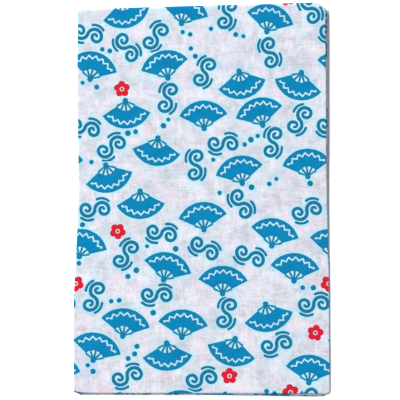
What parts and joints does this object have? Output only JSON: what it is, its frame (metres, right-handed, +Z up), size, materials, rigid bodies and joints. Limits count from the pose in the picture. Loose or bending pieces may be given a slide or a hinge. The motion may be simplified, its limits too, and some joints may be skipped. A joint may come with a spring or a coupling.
{
  "type": "folded tenugui towel",
  "caption": "Rectangular cotton hand towel, printed all over and left unhemmed, its width turned in and its length folded back and forth into a flat packet.",
  "frame": {"origin": "centre of the packet's box, on the surface that it lies on", "axes": "+Z up out of the printed face, +Y along the packet's length to the end where its top layer is folded, +X to the right of someone who looks down on it with +Y away from them"},
  "size_m": [0.1204, 0.1846, 0.0069],
  "materials": {
    "printed_cotton": "plain-woven bleached cotton, matt and slightly sheer, dyed through with blue and red figures"
  },
  "bodies": {
    "root": {"towel": "printed_cotton"}
  },
  "joints": []
}
